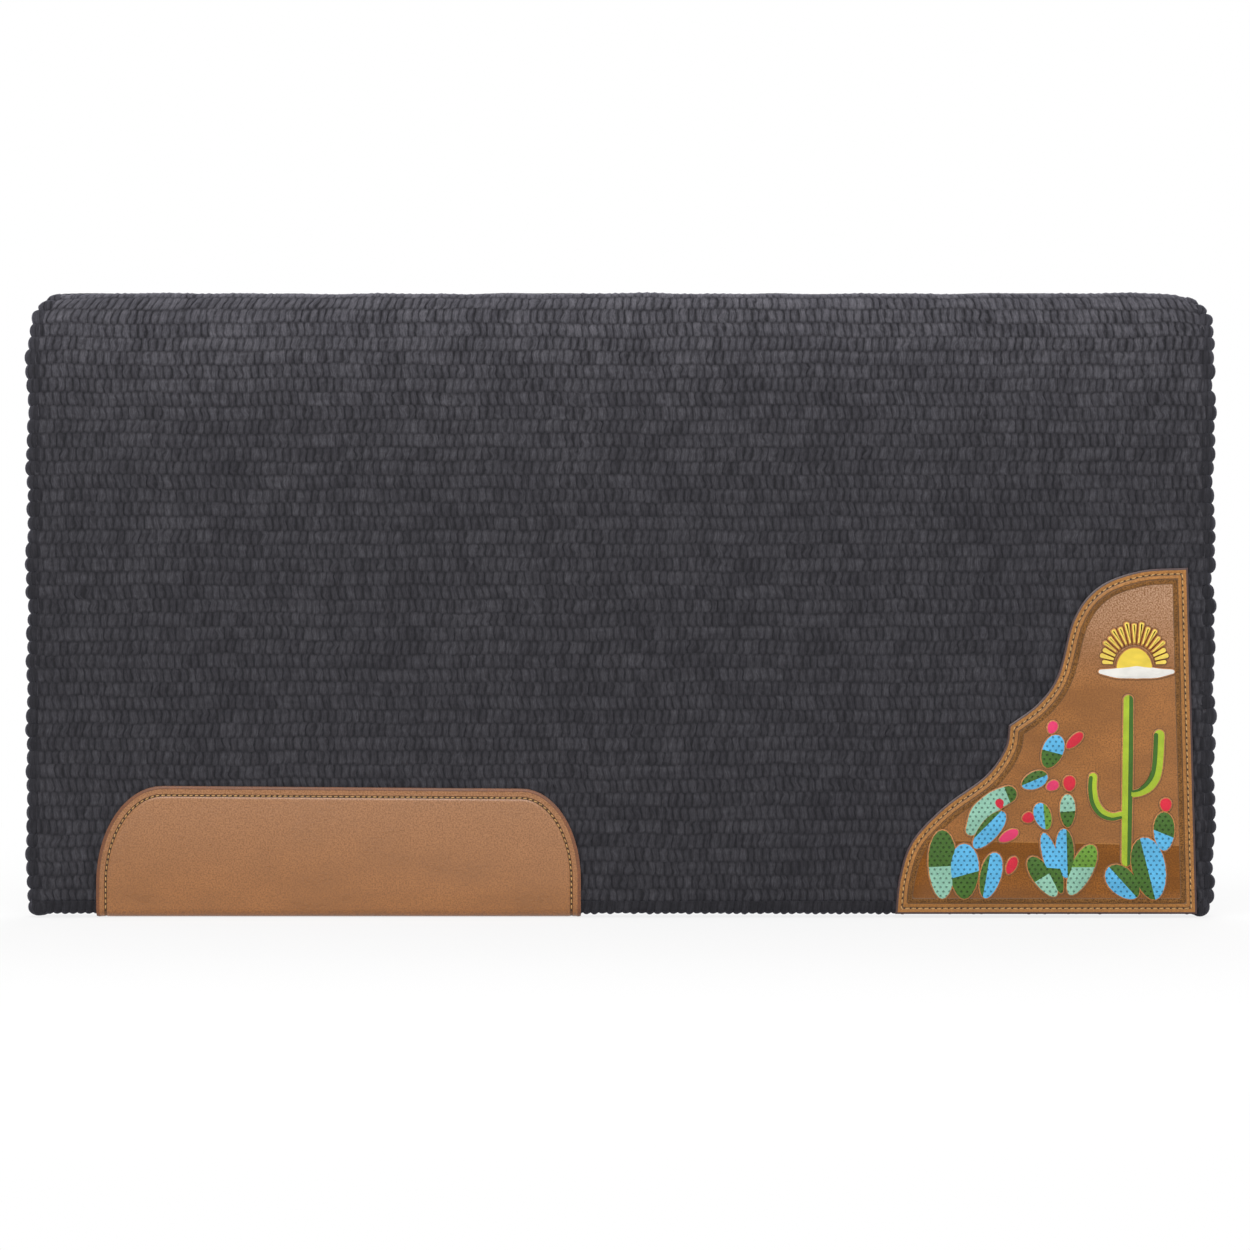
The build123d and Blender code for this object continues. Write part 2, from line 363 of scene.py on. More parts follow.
def leather_material(name, tint, rough=0.42, dark=0.72, light=1.18, coat=0.15, bump=0.25, dots=0.0,
                     pale=None, gloss=0.5):
    """Oiled leather: mottled colour, pores and grain. dots gives the pitch of a stippling tool's marks.

    pale is (low, high, tint): the leather pales to that tint between two heights. On the wear leather this is
    a painted highlight."""
    made, t, shader = new_material(name)
    place = t.place()
    g = t.shared("Leather grain", grain_group, {"Place": place, "Size": 1.0})
    base = t.mix(t.between(g["Mottle"], 0.28, 0.72), rgba(tint, dark), rgba(tint, light))
    if pale:
        low, high, paler_tint = pale
        level = t.plus(t.split(place)["Z"], t.swing(g["Mottle"], 0.3 * (high - low)))
        base = t.mix(t.between(level, low, high), base, rgba(paler_tint))
    base = t.mix(t.between(g["Grain"], 0.62, 0.36), base, rgba(tint, dark * 0.8))
    height = t.plus(t.times(g["Grain"], 0.6), t.times(g["Pores"], 0.4))
    if dots:
        feeds = {"Vector": place, "Scale": 1.0 / dots, "Randomness": 0.75}
        # Painted shade: each stippling mark is painted darker towards its middle, besides being sunk in the
        # bump.
        pit = t.between(t.add("TexVoronoi", feeds).outputs["Distance"], 0.15, 0.5)
        base = t.mix(pit, rgba(tint, 0.35), base)
        height = t.plus(height, t.times(pit, 1.6))
    t.feed(shader, {
        "Base Color": base,
        "Roughness": t.plus(t.swing(g["Mottle"], 0.25), rough),
        "Normal": t.bump(height, bump, 0.0003),
        "Coat Weight": coat,
        "Coat Roughness": 0.3,
        "Specular IOR Level": gloss,
    })
    return made


def paint_material(name, tint, stippled=True):
    """Leather paint, slightly uneven with wear. The stippled kind is dimpled all over in staggered rows."""
    made, t, shader = new_material(name)
    place = t.place()
    g = t.shared("Leather grain", grain_group, {"Place": place, "Size": 1.6})
    base = t.mix(t.between(g["Mottle"], 0.3, 0.7), rgba(tint, 0.86), rgba(tint, 1.1))
    height = g["Grain"]
    if stippled:
        pitch_mm, row_mm = 4.3, 3.2
        flat = t.split(place)
        row = t.maths("DIVIDE", flat["Z"], row_mm / 1000)
        shift = t.times(t.maths("FLOORED_MODULO", t.maths("FLOOR", row), 2.0), 0.5)
        along = t.plus(t.maths("DIVIDE", flat["X"], pitch_mm / 1000), shift)
        dx = t.swing(t.maths("FRACT", along), pitch_mm)
        dz = t.swing(t.maths("FRACT", row), row_mm)
        away = t.maths("SQRT", t.plus(t.times(dx, dx), t.times(dz, dz)))
        # Painted shade: each dimple is painted darker towards its middle, besides being sunk in the bump.
        pit = t.between(away, 0.3, 1.0)
        base = t.mix(pit, rgba(tint, 0.5), base)
        height = t.plus(t.times(height, 0.3), pit)
    t.feed(shader, {"Base Color": base, "Normal": t.bump(height, 1.0, 0.0009), "Roughness": 0.42,
                    "Specular IOR Level": 0.3})
    return made


def thread_material(name):
    """Waxed thread: fine twisted strands, darker where they dip between each other."""
    made, t, shader = new_material(name)
    strand = t.noise(t.place(), 2600.0, 3.0)
    tint = leather().thread_colour
    base = t.mix(t.between(strand, 0.35, 0.68), rgba(tint, 0.5), rgba(tint, 1.2))
    t.feed(shader, {"Base Color": base, "Normal": t.bump(strand, 0.5, 0.0002), "Roughness": 0.55})
    return made


PLAIN_PAINTS = ("gold", "ray", "cloud", "red", "pink", "lemon", "leaf")
# Painted highlight: the wear leather is painted paler towards its top, where light from above catches it.
PANEL_HIGHLIGHT = (-0.46, -0.34, (0.38, 0.168, 0.062))      # the wear leather pales towards its top
SKY_PALER_TOP = (-0.285, -0.2, (0.5, 0.3, 0.185))           # and so does the leather's sky


def scaled(tint, gain):
    """A tint made darker or lighter, by one gain or by one for each channel."""
    return tuple(float(v) for v in np.multiply(tuple(tint), gain))


def material(name):
    """The finished material of that name, made the first time it is asked for."""
    found = bpy.data.materials.get(name)
    if found:
        return found
    w, h = wool(), leather()
    wools = {
        "Ribbed wool": (w.stitch_colour, w.gap_shade_colour),
        "Edge wool": (w.edge_colour, w.gap_shade_colour),
        "Core wool": (w.edge_colour, w.edge_colour, 0.1),
    }
    leathers = {
        "Wear leather": dict(tint=h.wear_colour, rough=0.3, dark=0.84, light=1.14, coat=0.35, bump=0.03,
                             pale=PANEL_HIGHLIGHT),
        "Wear rim": dict(tint=scaled(h.wear_colour, (0.62, 0.5, 0.5)), rough=0.4),
        "Wear groove": dict(tint=scaled(h.wear_colour, 0.5), rough=0.55),
        "Corner margin": dict(tint=h.corner_colour, rough=0.4, dark=0.84, light=1.14, coat=0.05,
                              gloss=0.3),
        "Corner groove": dict(tint=scaled(h.corner_colour, 0.42), rough=0.6),
        "Stippled border": dict(tint=scaled(h.corner_colour, 0.66), rough=0.5, coat=0.0, dots=0.0014,
                                bump=0.8, gloss=0.2),
        "Sky leather": dict(tint=h.sky_colour, dark=0.78, light=1.2, coat=0.05, gloss=0.3,
                            pale=SKY_PALER_TOP),
        "Ground leather": dict(tint=h.ground_colour, dark=0.75, light=1.3, coat=0.0, bump=0.3,
                               gloss=0.2),
        "Dyed edge": dict(tint=h.edge_colour, rough=0.35, dark=0.8, light=1.4),
        # Painted highlight: the bevelled edge round each painted shape is painted lighter than the leather.
        "Carved edge": dict(tint=scaled(h.sky_colour, 1.5), rough=0.45),
        # Painted shade: the stitch holes are small lumps in this dark colour, for the shade inside each hole.
        "Stitch hole": dict(tint=scaled(h.corner_colour, 0.1), rough=0.8),
    }
    if name in wools:
        return wool_material(name, *wools[name])
    if name in leathers:
        return leather_material(name, **leathers[name])
    if name == "Waxed thread":
        return thread_material(name)
    tone = name.removeprefix("Paint ")
    return paint_material(name, getattr(paint(), tone), tone not in PLAIN_PAINTS)


# Meshes


def new_piece(name, points, faces, material_names, uvs=None):
    """A smooth mesh piece at the origin. uvs gives one place on the UV map for each point."""
    mesh = bpy.data.meshes.new(name)
    mesh.from_pydata([tuple(p) for p in points], [], faces)
    mesh.polygons.foreach_set("use_smooth", [True] * len(mesh.polygons))
    if uvs is not None:
        corners = np.empty(len(mesh.loops), dtype=np.int32)
        mesh.loops.foreach_get("vertex_index", corners)
        mesh.uv_layers.new(name="Stitches").data.foreach_set("uv", np.asarray(uvs)[corners].ravel())
    for label in material_names:
        mesh.materials.append(material(label))
    mesh.validate()
    piece = bpy.data.objects.new(name, mesh)
    bpy.context.collection.objects.link(piece)
    return piece


def only(piece):
    """Selects one piece alone and makes it active."""
    bpy.ops.object.select_all(action="DESELECT")
    piece.select_set(True)
    bpy.context.view_layer.objects.active = piece


@contextmanager
def editing(piece):
    """Edit mode on one piece alone, with all of it selected."""
    only(piece)
    bpy.ops.object.mode_set(mode="EDIT")
    bpy.ops.mesh.select_all(action="SELECT")
    yield
    bpy.ops.object.mode_set(mode="OBJECT")


def outward(piece):
    """Turns every face of a piece outwards."""
    with editing(piece):
        bpy.ops.mesh.normals_make_consistent(inside=False)


def settle(piece, slot, body, *nodes):
    """Gives a finished piece its body, if it has one, and hides the CAD nodes that it stands for. Its slot is
    not used.
    """
    if nodes:
        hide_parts(*nodes)
    if body:
        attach(piece, body)
    return piece


def copies(name, shape, places, material_names):
    """One piece made of many copies of a small shape.

    Each place is a function that takes the shape's points and gives a copy's points and its UVs."""
    mesh = shape.data
    base = np.empty(len(mesh.vertices) * 3)
    mesh.vertices.foreach_get("co", base)
    base = base.reshape(-1, 3)
    loops = [list(p.vertices) for p in mesh.polygons]
    points, faces, uvs = [], [], []
    for place in places:
        moved, flat = place(base)
        start = len(base) * len(points)
        faces += [[start + k for k in face] for face in loops]
        points.append(moved)
        uvs.append(flat)
    bpy.data.objects.remove(shape)
    return new_piece(name, np.vstack(points), faces, material_names, np.vstack(uvs))


# Wool


def smooth(value):
    value = np.clip(value, 0, 1)
    return value * value * (3 - 2 * value)


def rib_pitch():
    return (FOLD_Z - WEAVE_LOW_Z) / wool().ribs


def cloth_place(side, rib, radius, proud):
    """Across and up, for a point so many ribs from the fold's crest, proud of a face of the layer."""
    fold_ribs = wool().fold_ribs
    turn = np.clip(rib / fold_ribs, 0, 1) * QUARTER_TURN
    drop = np.clip(rib - fold_ribs, 0, None) * rib_pitch()
    y = side * (radius + proud) * np.sin(turn)
    z = FOLD_Z + (radius + proud) * np.cos(turn) - drop
    return y, z


def corner_inset(height, radius):
    """How far a rounded bottom corner has turned in at a height above the hem."""
    below = np.clip(radius - height, 0, radius)
    return radius - np.sqrt(radius * radius - below * below)


ENDS = {"front": -1, "rear": 1}
DRAWN_IN = {-1: 0.013, 1: 0.007}                 # how far the fold's ends lie inside the pad's length
SPREAD = 0.004                                   # and how far the first hanging ribs still do
STITCH_PROFILE = np.array([0.1, 0.6, 1.0, 0.6])  # how high a stitch stands, column by column
STITCH_HEIGHTS = (0.62, 1.15)                    # the lowest and the highest stitch, against a full one
STITCH_SHIFT = 0.0005                            # how far a stitch strays along its rib
RIB_LEVELS = (0.0, 0.3, 0.7)                     # where the rows of points lie within a rib
MEAN_RISE = 0.62                                 # the height that lies on the CAD's face
GAP_RISE = 0.34                                  # the height between two ribs, against the stitches beside it
BACK_DEPTH = 0.0024                              # from a woven face to its plain back, inside the pad
BACK_ROWS = (0, 0.5, 1, 1.5, 2, 3.5, 5)          # the back's rows above its last one, in ribs


def edge_inset(end, rib):
    """How far the pad's end lies inside its overall length, by rib: it spreads below the fold."""
    w = wool()
    height = FOLD_Z - (rib - w.fold_ribs) * rib_pitch() - HEM_Z
    radius = w.front_radius if end < 0 else w.rear_radius
    spread = DRAWN_IN[end] * (1 - smooth(rib / 2.6)) + SPREAD * (1 - smooth(rib / 5.2))
    waver = 0.0008 * np.sin(rib * 0.9 + end) + 0.0005 * np.sin(rib * 2.3 + 2 * end)
    return spread + corner_inset(height, radius) + waver


def droop(x, rib):
    """How far the ends of the fold slump."""
    front = 0.0025 * smooth((FRONT_X + 0.03 - x) / 0.026)
    rear = 0.0058 * smooth((x - REAR_X + 0.036) / 0.034)
    return -(front + rear) * (1 - smooth(rib / 5.0))


def loose(rng, x, rib, amount):
    """Slow hand-woven wander along and across the ribs."""
    total = 0
    for reach in (0.31, 0.17, 0.09, 0.05):
        lean = rng.uniform(-0.6, 0.6)
        start = rng.uniform(0, 2 * math.pi)
        total = total + np.sin(2 * math.pi * x / reach + rib * lean + start)
    return amount * total / 4


def woven_face(name, side, radius, out, seed):
    """One woven face of a side, from the fold's crest to the hem: a closed slab, its stitches in relief."""
    w = wool()
    rng = np.random.default_rng(seed)
    columns = len(STITCH_PROFILE)
    first, last = FRONT_X + w.selvage_width, REAR_X - w.selvage_width
    stitches = round((last - first) / w.stitch_pitch)
    ribs = w.ribs + w.fold_ribs
    across = np.arange(stitches * columns + 1)
    middle = smooth(np.minimum(across, across[-1] - across) / 6)
    rows = [(r, k) for r in range(ribs) for k in range(len(RIB_LEVELS))] + [(ribs, 0)]
    count = (ribs + 2, stitches + 3)
    tall = rng.uniform(*STITCH_HEIGHTS, count)
    lean = rng.normal(0, STITCH_SHIFT, count)
    nudge = rng.normal(0, STITCH_SHIFT, count)
    points, uvs = [], []

    def swell(rib):
        phase = across + 2 * (rib % 2)
        return STITCH_PROFILE[phase % columns] * tall[rib, phase // columns]

    def even_x(here):
        """The x of a row's points, spread evenly between the cloth's ends at that rib."""
        ends = edge_inset(-1, here), edge_inset(1, here)
        return first + ends[0] + (last - first - ends[0] - ends[1]) * across / across[-1]

    def add_row(x, here, proud, *lifts):
        y, z = cloth_place(side, here, radius, proud)
        points.append(np.stack([x, y, sum(lifts, z + droop(x, here))], 1))
        uvs.append(np.stack([across / columns, here], 1))

    def uneven(number, x, here, amount):
        return loose(np.random.default_rng(seed + number), x, here, amount)

    for rib, level in rows:
        share = RIB_LEVELS[level]
        here = np.full(len(across), rib + share)
        stitch = (across + 2 * (rib % 2)) // columns
        if level:
            rise = swell(rib)
            slide = lean[rib, stitch] * (share - 0.5) * 4 + nudge[rib, stitch]
        else:
            rise = GAP_RISE * np.maximum(swell(max(rib - 1, 0)), swell(min(rib, ribs - 1)))
            slide = np.zeros(len(across))
        x = even_x(here) + slide * middle
        wander = uneven(1, x, here, 0.0011) * smooth(here / 3) * smooth((ribs - here) / 2)
        ripple = uneven(90 + rib, x, here, 0.0007) * (level == 0) * (0 < rib < ribs)
        relief = w.relief * (0.3 + 0.7 * smooth(here / 1.6))
        proud = out * ((rise - MEAN_RISE) * relief + uneven(3, x, here, 0.0008))
        add_row(x, here, proud, wander, ripple)
    for rib in (*BACK_ROWS, ribs):
        here = np.full(len(across), float(rib))
        add_row(even_x(here), here, -out * BACK_DEPTH)

    n, front_rows, back_rows = len(across), len(rows), len(BACK_ROWS) + 1
    faces = []

    def strip(upper, lower):
        for k in range(n - 1):
            faces.append((upper + k, lower + k, lower + k + 1, upper + k + 1))

    for row in range(front_rows - 1):
        strip(row * n, (row + 1) * n)
    start = front_rows * n
    for row in range(back_rows - 1):
        strip(start + (row + 1) * n, start + row * n)
    strip(start, 0)
    strip((front_rows - 1) * n, start + (back_rows - 1) * n)
    for k in (0, n - 1):
        walk = [row * n + k for row in range(front_rows)]
        walk += [start + row * n + k for row in reversed(range(back_rows))]
        faces.append(walk if k == 0 else walk[::-1])
    if side * out > 0:
        faces = [tuple(reversed(f)) for f in faces]
    return new_piece(name, np.vstack(points), faces, ["Ribbed wool"], np.vstack(uvs))


def bend_with_fold(piece):
    """Bakes the piece's transform into its mesh; the fold is already built into its shape."""
    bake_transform(piece)


class PAD_OT_weave(bpy.types.Operator):
    """The woven outer and inner faces of both sides, with every stitch in relief"""
    bl_idname = "saddle_pad.weave"
    bl_label = "Woven faces"

    def execute(self, context):
        seed = wool().seed
        for number, (name, side) in enumerate(SIDES.items()):
            outer = woven_face(f"{name}_outer_wool", side, OUTER, 1, seed + 10 * number)
            inner = woven_face(f"{name}_inner_wool", side, INNER, -1, seed + 10 * number + 5)
            shown = ["outer_weave"], ["inner_weave"]
            spine = [], []
            if number == 0:
                spine = ["spine_outer_weave", "spine_weft_cords"], ["spine_inner_weave"]
            for piece, nodes, more, radius in zip((outer, inner), shown, spine, (OUTER, INNER)):
                settle(piece, "wool", None, *[f"{name}_{n}" for n in nodes], *more)
                bend_with_fold(piece)
            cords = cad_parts[f"{name}_weft_cords"]
            for slot in cords.material_slots:
                slot.material = material("Core wool")
        return {"FINISHED"}


TURN_HALF = 0.7          # half the length of one turn of the selvage, in ribs
TURN_REACH = 0.0072      # how far it reaches out from the cloth
LAST_TURN = 0.32         # where the last turn lies below the last rib, in ribs
LAST_TURN_SHARE = 0.8    # its length against the others'
STRAND_DEPTH = 0.00022


class PAD_OT_selvages(bpy.types.Operator):
    """The scalloped selvages at the front and rear ends, one turn of weft cord for each rib"""
    bl_idname = "saddle_pad.selvages"
    bl_label = "Selvages"

    def execute(self, context):
        w = wool()
        rng = np.random.default_rng(w.seed + 40)
        ribs = w.ribs + w.fold_ribs
        for side_name, side in SIDES.items():
            for end_name, end in ENDS.items():
                bpy.ops.mesh.primitive_uv_sphere_add(segments=18, ring_count=12, radius=1)
                turn = bpy.context.object
                places = [self.one_turn(rng, side, end, rib + 0.5) for rib in range(ribs)]
                places.append(self.one_turn(rng, side, end, ribs + LAST_TURN))
                piece = copies(f"{side_name}_{end_name}_selvage_wool", turn, places, ["Edge wool"])
                nodes = [f"{side_name}_{end_name}_selvage"]
                if side < 0:
                    nodes.append(f"spine_{end_name}_selvage")
                settle(piece, "wool", None, *nodes)
                bend_with_fold(piece)
        return {"FINISHED"}

    def one_turn(self, rng, side, end, rib):
        """One turn of a weft cord round the end of the layer, wrapped in its stitches."""
        w = wool()
        on_fold = rib < w.fold_ribs
        pitch = MIDDLE * QUARTER_TURN / w.fold_ribs if on_fold else rib_pitch()
        if rib > w.ribs + w.fold_ribs:
            pitch *= LAST_TURN_SHARE
        half = TURN_HALF * pitch * rng.uniform(0.9, 1.1)
        reach = TURN_REACH * rng.uniform(0.85, 1.12)
        thick = LAYER / 2 * rng.uniform(1.06, 1.18)
        tip = 0.0006 * rng.normal()
        slew = rng.normal() * 0.08
        edge = FRONT_X if end < 0 else REAR_X
        offset = float(rng.integers(0, 50))
        inset = float(edge_inset(end, np.array(rib)))

        def place(base):
            out, through, along = base[:, 0], base[:, 1], base[:, 2]
            bulge = np.sign(along) * np.abs(along) ** 0.9
            x = edge - end * (inset + reach * 0.92 + tip) + end * reach * out
            ribs_down = rib + bulge * half / pitch + slew * out * 0.2
            strands = STRAND_DEPTH * np.cos(np.arctan2(through, out) * 7 + along * 2)
            y, z = cloth_place(side, ribs_down, MIDDLE, through * thick + strands * np.sign(through))
            z = z + droop(x, ribs_down)
            stitch = np.arctan2(through, out) * 1.35 + offset
            return np.stack([x, y, z], 1), np.stack([stitch, np.floor(rib) + 0.5 + along * 0.47], 1)

        return place


HEM_FRONT_GAP = 0.0032   # from the pad's front end to the hem's
HEM_REAR_GAP = 0.0042
HEM_STRAIGHT = 0.0052    # how far the hem's sides run up each face of the cloth
HEM_STITCH_ROW = 100.02  # where the hem's stitches start on the UV map, clear of the ribs
HEM_STITCH_ROWS = 1.96


class PAD_OT_hem(bpy.types.Operator):
    """The twined hem that closes the bottom edge of each side"""
    bl_idname = "saddle_pad.hem"
    bl_label = "Hems"

    def execute(self, context):
        for number, (name, side) in enumerate(SIDES.items()):
            piece = self.roll(f"{name}_hem_wool", side, wool().seed + 60 + number)
            settle(piece, "wool", BODIES[name], f"{name}_bottom_hem")
            outward(piece)
        return {"FINISHED"}

    def roll(self, name, side, seed):
        """A half-round roll along the hem, wrapped in slanting stitches."""
        w = wool()
        rng = np.random.default_rng(seed)
        per_stitch, around = 5, 15
        first, last = FRONT_X + HEM_FRONT_GAP, REAR_X - HEM_REAR_GAP
        stitches = round((last - first) / w.stitch_pitch)
        tall = rng.uniform(0.6, 1.1, stitches + 3)
        across = np.arange(stitches * per_stitch + 1)
        x = first + (last - first) * across / across[-1]
        rise = corner_inset(x - FRONT_X, w.front_radius) + corner_inset(REAR_X - x, w.rear_radius)
        radius = LAYER / 2
        straight = HEM_STRAIGHT
        bottom = HEM_Z + radius
        path = 2 * straight + math.pi * radius
        points, uvs = [], []
        for k in range(around):
            s = path * k / (around - 1)
            if s < straight:
                y, z, ny, nz = OUTER, bottom + straight - s, 1, 0
            elif s > path - straight:
                y, z, ny, nz = INNER, bottom + s - path + straight, -1, 0
            else:
                turn = (s - straight) / radius
                y, z = MIDDLE + radius * math.cos(turn), bottom - radius * math.sin(turn)
                ny, nz = math.cos(turn), -math.sin(turn)
            share = k / (around - 1)
            u = across / per_stitch + 0.5 * share
            part = u - np.floor(u)
            swell = (1 - np.abs(2 * part - 1) ** 2.4) * tall[np.floor(u).astype(int)]
            proud = (swell - 0.6) * w.relief * 0.8
            points.append(np.stack([x, side * (y + proud * ny), z + proud * nz + rise], 1))
            uvs.append(np.stack([u, np.full(len(x), HEM_STITCH_ROW + HEM_STITCH_ROWS * share)], 1))
        n = len(across)
        faces = []
        for k in range(around):
            here, there = k * n, ((k + 1) % around) * n
            for i in range(n - 1):
                faces.append((here + i, there + i, there + i + 1, here + i + 1))
        faces.append([k * n for k in range(around)])
        faces.append([k * n + n - 1 for k in reversed(range(around))])
        return new_piece(name, np.vstack(points), faces, ["Edge wool"], np.vstack(uvs))


# Leather


def slot_names(rings, last_material):
    """The materials of a blank's bands and of its middle, each once."""
    return list(dict.fromkeys([ring[0] for ring in rings] + [last_material]))


def leather_blank(name, outline, thickness, rings, last_material):
    """A flat blank cut to an outline of (x, z) points, its front towards -Y, worked inside its edge.

    rings holds (material, width, depth) for each band from the edge inwards. Also gives each band's
    inner line and the blank's material names."""
    bpy.ops.object.select_all(action="DESELECT")
    bpy.ops.mesh.primitive_circle_add(vertices=len(outline), radius=0.1, fill_type="NGON")
    piece = bpy.context.object
    piece.name = name
    for vertex, (x, z) in zip(piece.data.vertices, outline):
        vertex.co = (x, 0, z)
    labels = slot_names(rings, last_material)
    for label in labels:
        piece.data.materials.append(material(label))
    lines = []
    with editing(piece):
        bpy.ops.mesh.extrude_region_move(TRANSFORM_OT_translate={"value": (0, -thickness, 0)})
        for label, width, depth in rings:
            piece.active_material_index = labels.index(label)
            bpy.ops.object.material_slot_assign()
            bpy.ops.mesh.inset(thickness=width, depth=depth, use_even_offset=True)
            piece.update_from_editmode()
            inner = next(p for p in piece.data.polygons if p.select)
            lines.append([tuple(piece.data.vertices[k].co) for k in inner.vertices])
        piece.active_material_index = labels.index(last_material)
        bpy.ops.object.material_slot_assign()
        bpy.ops.mesh.select_all(action="SELECT")
        bpy.ops.mesh.normals_make_consistent(inside=False)
    return piece, lines, labels


def inset_line(outline, inset):
    """The outline moved inwards by inset, point for point.

    Where a sharp corner would tangle the line, its points meet instead."""
    line = np.array(outline)
    ahead = np.roll(line, -1, axis=0) - np.roll(line, 1, axis=0)
    ahead /= np.linalg.norm(ahead, axis=1)[:, None]
    moved = line + inset * np.stack([-ahead[:, 1], ahead[:, 0]], 1)
    distance = np.linalg.norm(moved[:, None, :] - line[None, :, :], axis=2).min(axis=1)
    clear = distance > inset * 0.995
    kept = np.flatnonzero(clear)
    for k in np.flatnonzero(~clear):
        after = kept[np.searchsorted(kept, k) % len(kept)]
        before = kept[np.searchsorted(kept, k) - 1]
        moved[k] = (moved[before] + moved[after]) / 2
    return moved


def worked_blank(name, outline, thickness, rings, last_material):
    """The same blank for an outline with sharp corners, where insetting face by face would tangle."""
    count = len(outline)
    points = [(x, 0, z) for x, z in outline] + [(x, -thickness, z) for x, z in outline]
    labels = slot_names(rings, last_material)
    faces = [tuple(reversed(range(count)))]
    owners = [0]
    inset, height, lines = 0, thickness, []

    def band(lower, upper, owner):
        for k in range(count):
            j = (k + 1) % count
            faces.append((lower + k, lower + j, upper + j, upper + k))
            owners.append(owner)

    band(0, count, labels.index(rings[0][0]))
    for number, (label, width, depth) in enumerate(rings):
        inset += width
        height += depth
        line = [(x, -height, z) for x, z in inset_line(outline, inset)]
        lines.append(line)
        points += line
        band((number + 1) * count, (number + 2) * count, labels.index(label))
    faces.append(tuple(range(len(points) - count, len(points))))
    owners.append(labels.index(last_material))
    piece = new_piece(name, points, faces, labels)
    piece.data.polygons.foreach_set("material_index", owners)
    with editing(piece):
        bpy.ops.mesh.remove_doubles(threshold=0.00002)
        bpy.ops.mesh.normals_make_consistent(inside=False)
    return piece, lines, labels


def cut_across(piece, place, normal):
    """Cuts new edges all round the piece where a plane crosses it."""
    with editing(piece):
        bpy.ops.mesh.bisect(plane_co=place, plane_no=normal, threshold=1e-6)


def reshape(piece, change):
    """Moves every point of a piece by a function of all its points."""
    flat = np.empty(len(piece.data.vertices) * 3)
    piece.data.vertices.foreach_get("co", flat)
    piece.data.vertices.foreach_set("co", change(flat.reshape(-1, 3)).ravel())
    piece.data.update()


def soft_edges(piece, angle=40):
    only(piece)
    bpy.ops.object.shade_smooth_by_angle(angle=math.radians(angle))


def for_other_side(piece, name):
    """A mirror image of a near-side piece for the off side, with its own mesh."""
    twin = piece.copy()
    twin.data = piece.data.copy()
    twin.name = name
    bpy.context.collection.objects.link(twin)
    reshape(twin, lambda p: p * np.array([1, -1, 1]))
    with editing(twin):
        bpy.ops.mesh.flip_normals()
    return twin


def both_sides(piece, suffix, slot, nodes=()):
    """Names and seats a near-side piece and its mirror image on the off side."""
    piece.name = "near_" + suffix
    twin = for_other_side(piece, "off_" + suffix)
    for name, each in (("near", piece), ("off", twin)):
        each.data.name = each.name
        settle(each, slot, BODIES[name], *[f"{name}_{n}" for n in nodes])


FOLD_RADIUS = LAYER / 2                      # the wear leather's inner radius round the hem
FOLD_REACH = QUARTER_TURN * FOLD_RADIUS
WEAR_FRONT_CORNER = (0.048, 0.070)           # the leaf's rounded corners, along and up
WEAR_REAR_CORNER = (0.043, 0.066)
HEM_BOW = 0.0006                             # how far the middle of the folded edge hangs lower
UNDERSIDE_SHARE = 0.8                        # the back leaf stands less proud than the front one
FOLD_CUTS = 14                               # how many strips the folded band is cut into
SEAM_STOP = 0.001                            # how far the seam runs into the folded band, or stops above it


def wear_leaf_outline(step=15):
    """The wear leather's leaf, from its front bottom over the top to its rear bottom, as (x, up)."""
    h = leather()
    turns = np.linspace(0, QUARTER_TURN, step)

    def corner(x, height, along, up, inwards):
        return [(x + inwards * along * (1 - math.cos(a)), height - up * (1 - math.sin(a))) for a in turns]

    front = corner(WEAR_LOW[0], h.front_height, *WEAR_FRONT_CORNER, 1)
    rear = corner(WEAR_HIGH[0], h.rear_height, *WEAR_REAR_CORNER, -1)
    return front + rear[::-1]


def wear_blank_outline():
    """The wear leather laid out flat, in (x, z), with the hem's bottom line at z = 0."""
    leaf = [(x, up - FOLD_RADIUS + FOLD_REACH) for x, up in wear_leaf_outline()]
    x0, x1 = WEAR_LOW[0], WEAR_HIGH[0]
    upper = [(x1, 0.0)] + leaf[::-1] + [(x0, 0.0)]
    lower = [(x, -z) for x, z in leaf]
    return upper + lower


def fold_round_hem(points):
    """Folds the flat wear leather round the hem: its upper half becomes the outer leaf."""
    x, proud, along = points[:, 0], -points[:, 1], points[:, 2]
    turn = np.clip(along / FOLD_RADIUS, -QUARTER_TURN, QUARTER_TURN)
    beyond = np.abs(along) - FOLD_REACH
    radius = FOLD_RADIUS + proud * np.where(along < 0, UNDERSIDE_SHARE, 1.0)
    y = MIDDLE + radius * np.sin(turn)
    z = HEM_Z + FOLD_RADIUS - radius * np.cos(turn) + np.clip(beyond, 0, None)
    share = np.clip((x - WEAR_LOW[0]) / (WEAR_HIGH[0] - WEAR_LOW[0]), 0, 1)
    bow = HEM_BOW * np.sin(share * math.pi)
    return np.stack([x, -y, z - bow * (np.abs(along) < FOLD_REACH)], 1)


THREAD_HALF = 0.37                           # half the length of a stitch, in pitches
HOLE_SIZE = (0.00062, 0.00068, 0.00018)      # half a stitch hole's length, width and height


